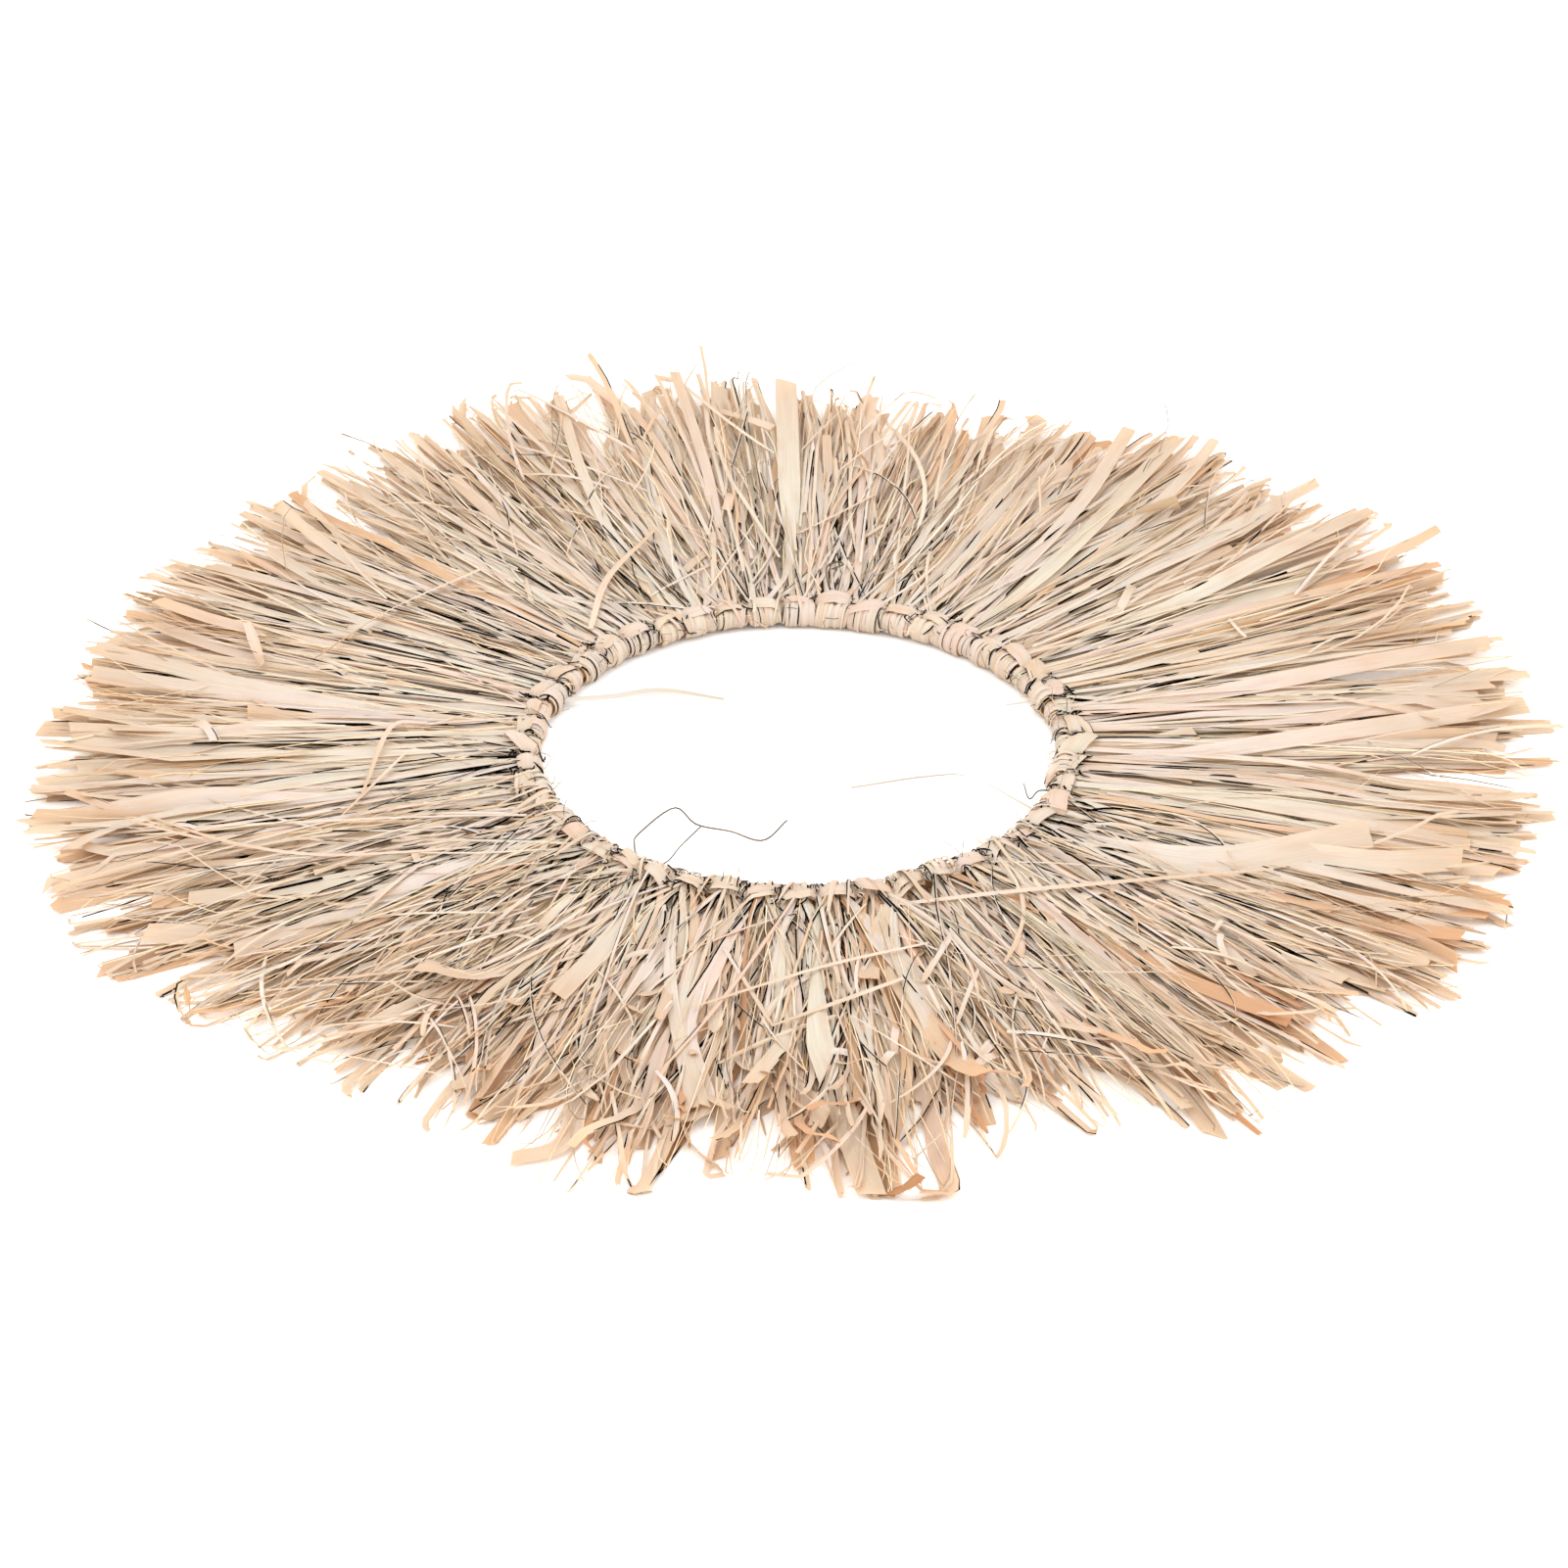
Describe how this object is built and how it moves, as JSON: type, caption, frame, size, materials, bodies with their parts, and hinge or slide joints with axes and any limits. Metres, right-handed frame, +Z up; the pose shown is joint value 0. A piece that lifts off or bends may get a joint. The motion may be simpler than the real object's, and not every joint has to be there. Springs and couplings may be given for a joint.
{
  "type": "raffia wall hanging",
  "caption": "Round wall hanging of raffia bundles hitched round a small cane hoop, with a ragged fringe of flat blades fanning outwards and an open centre.",
  "frame": {"origin": "on the surface that the hanging lies on, under the centre of the hoop, which is the middle of the fringe's outline to within a few millimetres", "axes": "+Z up out of the surface, from the hanging's back to its face, along the hoop's axis; +Y towards the edge that is uppermost when it hangs; +X to the right"},
  "size_m": [0.5994, 0.5998, 0.0153],
  "materials": {
    "cane": "peeled rattan cane, matt to satin, light brown",
    "raffia": "dry undyed raffia palm leaf strips, pale peach-cream straw, soft waxy sheen along the strip"
  },
  "bodies": {
    "root": {"hoop": "cane", "raffia_bundle_01": "raffia", "raffia_bundle_02": "raffia", "raffia_bundle_03": "raffia", "raffia_bundle_04": "raffia", "raffia_bundle_05": "raffia", "raffia_bundle_06": "raffia", "raffia_bundle_07": "raffia", "raffia_bundle_08": "raffia", "raffia_bundle_09": "raffia", "raffia_bundle_10": "raffia", "raffia_bundle_11": "raffia", "raffia_bundle_12": "raffia", "raffia_bundle_13": "raffia", "raffia_bundle_14": "raffia", "raffia_bundle_15": "raffia", "raffia_bundle_16": "raffia", "raffia_bundle_17": "raffia", "raffia_bundle_18": "raffia", "raffia_bundle_19": "raffia", "raffia_bundle_20": "raffia", "raffia_bundle_21": "raffia", "raffia_bundle_22": "raffia", "raffia_bundle_23": "raffia", "raffia_bundle_24": "raffia", "raffia_bundle_25": "raffia", "raffia_bundle_26": "raffia", "raffia_bundle_27": "raffia", "raffia_bundle_28": "raffia", "raffia_bundle_29": "raffia", "raffia_bundle_30": "raffia", "raffia_bundle_31": "raffia", "raffia_bundle_32": "raffia", "raffia_bundle_33": "raffia", "raffia_bundle_34": "raffia", "raffia_bundle_35": "raffia", "raffia_bundle_36": "raffia", "raffia_bundle_37": "raffia", "raffia_bundle_38": "raffia", "raffia_bundle_39": "raffia", "raffia_bundle_40": "raffia", "raffia_bundle_41": "raffia", "raffia_bundle_42": "raffia", "raffia_bundle_43": "raffia", "raffia_bundle_44": "raffia", "raffia_bundle_45": "raffia", "raffia_bundle_46": "raffia", "raffia_bundle_47": "raffia", "raffia_bundle_48": "raffia"}
  },
  "joints": []
}
